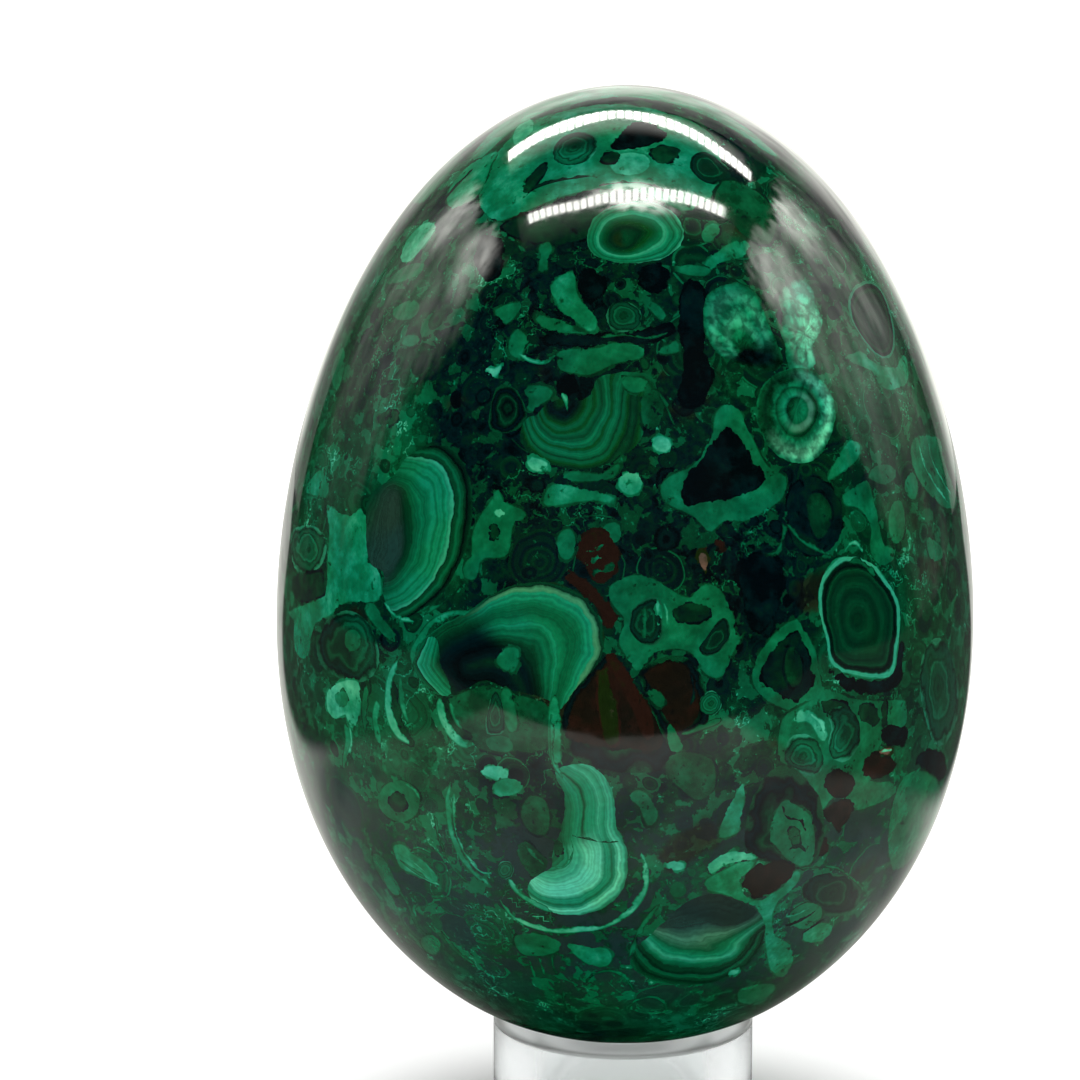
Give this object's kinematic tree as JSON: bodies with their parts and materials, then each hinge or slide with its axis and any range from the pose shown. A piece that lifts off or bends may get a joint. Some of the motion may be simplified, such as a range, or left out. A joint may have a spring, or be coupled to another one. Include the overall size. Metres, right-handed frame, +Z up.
{
  "type": "stone egg on stand",
  "caption": "Polished banded green stone egg, narrow end up, resting loose in a low clear acrylic ring stand; the egg lifts straight off.",
  "frame": {"origin": "centre of the ring's flat underside, on the surface that the stand rests on", "axes": "+Z up along the common axis of ring and egg, towards the egg's narrow end; the front of the picture is -Y"},
  "size_m": [0.0502, 0.0502, 0.075],
  "materials": {
    "malachite": "high polish, banded and brecciated deep green",
    "clear_acrylic": "clear, polished faces and edges"
  },
  "bodies": {
    "stand": {"acrylic_ring": "clear_acrylic"},
    "egg": {"stone_egg": "malachite"}
  },
  "joints": [
    {"name": "egg_lift", "type": "slide", "parent": "stand", "child": "egg", "axis": [0, 0, 1], "range_m": [0, 0.05]}
  ]
}
